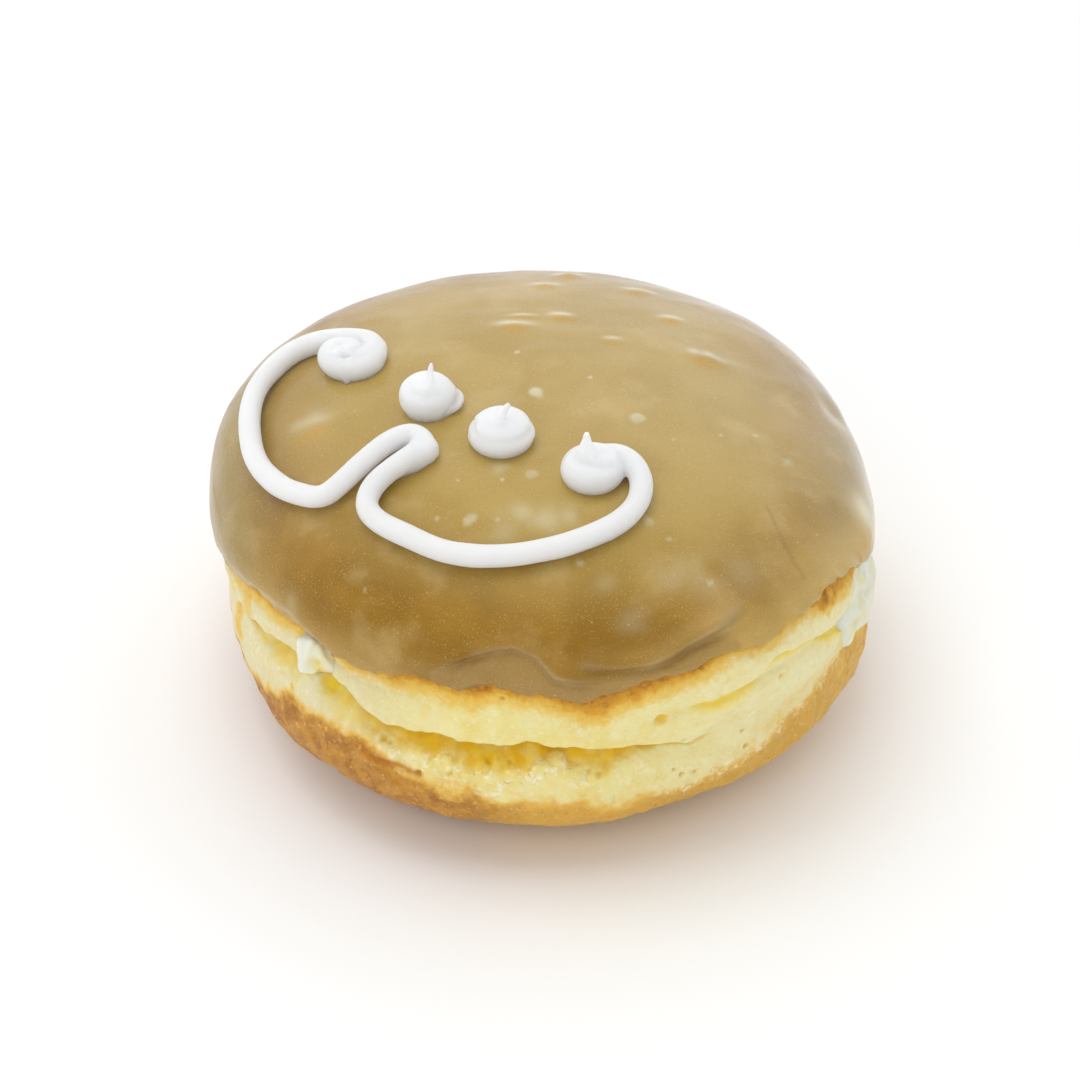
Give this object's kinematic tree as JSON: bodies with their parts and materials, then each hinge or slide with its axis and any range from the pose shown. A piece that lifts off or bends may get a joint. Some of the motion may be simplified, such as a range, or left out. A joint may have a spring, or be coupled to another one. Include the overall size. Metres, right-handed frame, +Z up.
{
  "type": "bavarian cream doughnut",
  "caption": "Round raised doughnut with cream through its middle, a coffee glaze over its dome and white icing piped on top as a curly line and dots.",
  "frame": {"origin": "centre of the bounding box at the underside, on the surface that the doughnut rests on", "axes": "+Z up through the dome; -Y is the front, where the glaze hangs lowest over the pale lip; +X is the right as seen from the front"},
  "size_m": [0.0892, 0.0886, 0.0535],
  "materials": {
    "dough": "soft fried dough, pale yellow crumb with a golden brown crust",
    "cream": "smooth pale custard cream, moist",
    "coffee_glaze": "set coffee glaze, satin, with fine pale specks",
    "white_icing": "smooth white piped icing"
  },
  "bodies": {
    "root": {"dough": "dough", "cream_filling": "cream", "glaze": "coffee_glaze", "piped_scroll": "white_icing", "piped_dot_left": "white_icing", "piped_dot_right": "white_icing"}
  },
  "joints": []
}
